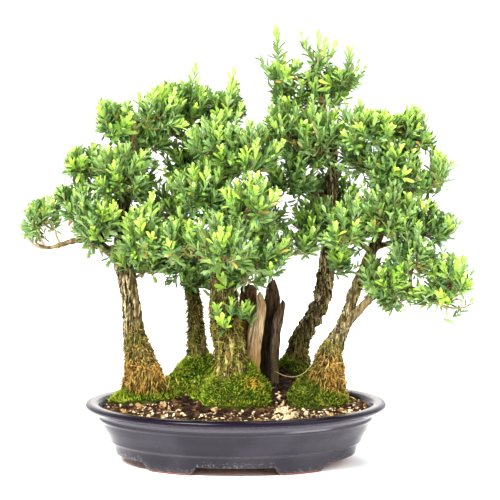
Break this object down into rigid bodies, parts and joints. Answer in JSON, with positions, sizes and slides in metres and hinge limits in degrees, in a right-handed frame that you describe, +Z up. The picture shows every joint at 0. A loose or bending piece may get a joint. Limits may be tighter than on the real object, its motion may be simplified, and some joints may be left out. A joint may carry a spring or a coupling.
{
  "type": "boxwood bonsai forest in an oval pot",
  "caption": "Forest planting of small-leaved boxwood bonsai trees with weathered stump wood, moss and soil in an oval glazed pot on low feet.",
  "frame": {"origin": "on the surface that the pot stands on, under the middle of the whole planting's box; the pot's own middle is 4 mm towards -X and 8 mm towards -Y", "axes": "+Z up, +X along the pot to the right as seen from the front, +Y from the front to the back"},
  "size_m": [0.554, 0.2859, 0.5245],
  "materials": {
    "pot_glaze": "glossy dark blue-grey glaze over red-brown clay, bare on the soles",
    "drain_plastic": "moulded",
    "soil": "loose bark chips with cream perlite grains",
    "moss": "short bright green moss",
    "bark": "fissured tan-grey bark with olive moss low down",
    "weathered_wood": "split, weathered stump wood",
    "leaf": "slightly glossy small leaves, yellow-green at the shoot tips"
  },
  "bodies": {
    "root": {"pot": "pot_glaze", "drain_screen_left": "drain_plastic", "drain_screen_right": "drain_plastic", "soil": "soil", "moss_front_left": "moss", "moss_back_right": "moss", "moss_right": "moss", "wood_left": "bark", "wood_back_left": "bark", "wood_centre": "bark", "wood_back_right": "bark", "wood_right": "bark", "stump_dark_slab": "weathered_wood", "stump_tan_slab": "weathered_wood", "stump_tall_slab": "weathered_wood", "stump_side_slab": "weathered_wood", "foliage_left_tip": "leaf", "foliage_left_outer": "leaf", "foliage_left_low": "leaf", "foliage_left_side": "leaf", "foliage_left_heart": "leaf", "foliage_left_top": "leaf", "foliage_left_crown": "leaf", "foliage_left_front": "leaf", "foliage_left_back": "leaf", "foliage_back_left_shoulder": "leaf", "foliage_back_left_top": "leaf", "foliage_back_left_heart": "leaf", "foliage_back_left_low": "leaf", "foliage_back_left_skirt": "leaf", "foliage_back_left_back": "leaf", "foliage_centre_shoulder": "leaf", "foliage_centre_top": "leaf", "foliage_centre_heart": "leaf", "foliage_centre_right": "leaf", "foliage_centre_outer": "leaf", "foliage_centre_front": "leaf", "foliage_centre_side": "leaf", "foliage_centre_back": "leaf", "foliage_back_right_peak_left": "leaf", "foliage_back_right_peak": "leaf", "foliage_back_right_peak_right": "leaf", "foliage_back_right_shoulder": "leaf", "foliage_back_right_heart": "leaf", "foliage_back_right_low": "leaf", "foliage_back_right_skirt": "leaf", "foliage_back_right_back": "leaf", "foliage_back_right_back_low": "leaf", "foliage_right_shoulder": "leaf", "foliage_right_top": "leaf", "foliage_right_outer_top": "leaf", "foliage_right_outer": "leaf", "foliage_right_heart": "leaf", "foliage_right_bright": "leaf", "foliage_right_inner": "leaf", "foliage_right_side": "leaf", "foliage_right_front": "leaf", "foliage_right_low": "leaf", "foliage_right_tip": "leaf", "foliage_right_back": "leaf"}
  },
  "joints": []
}
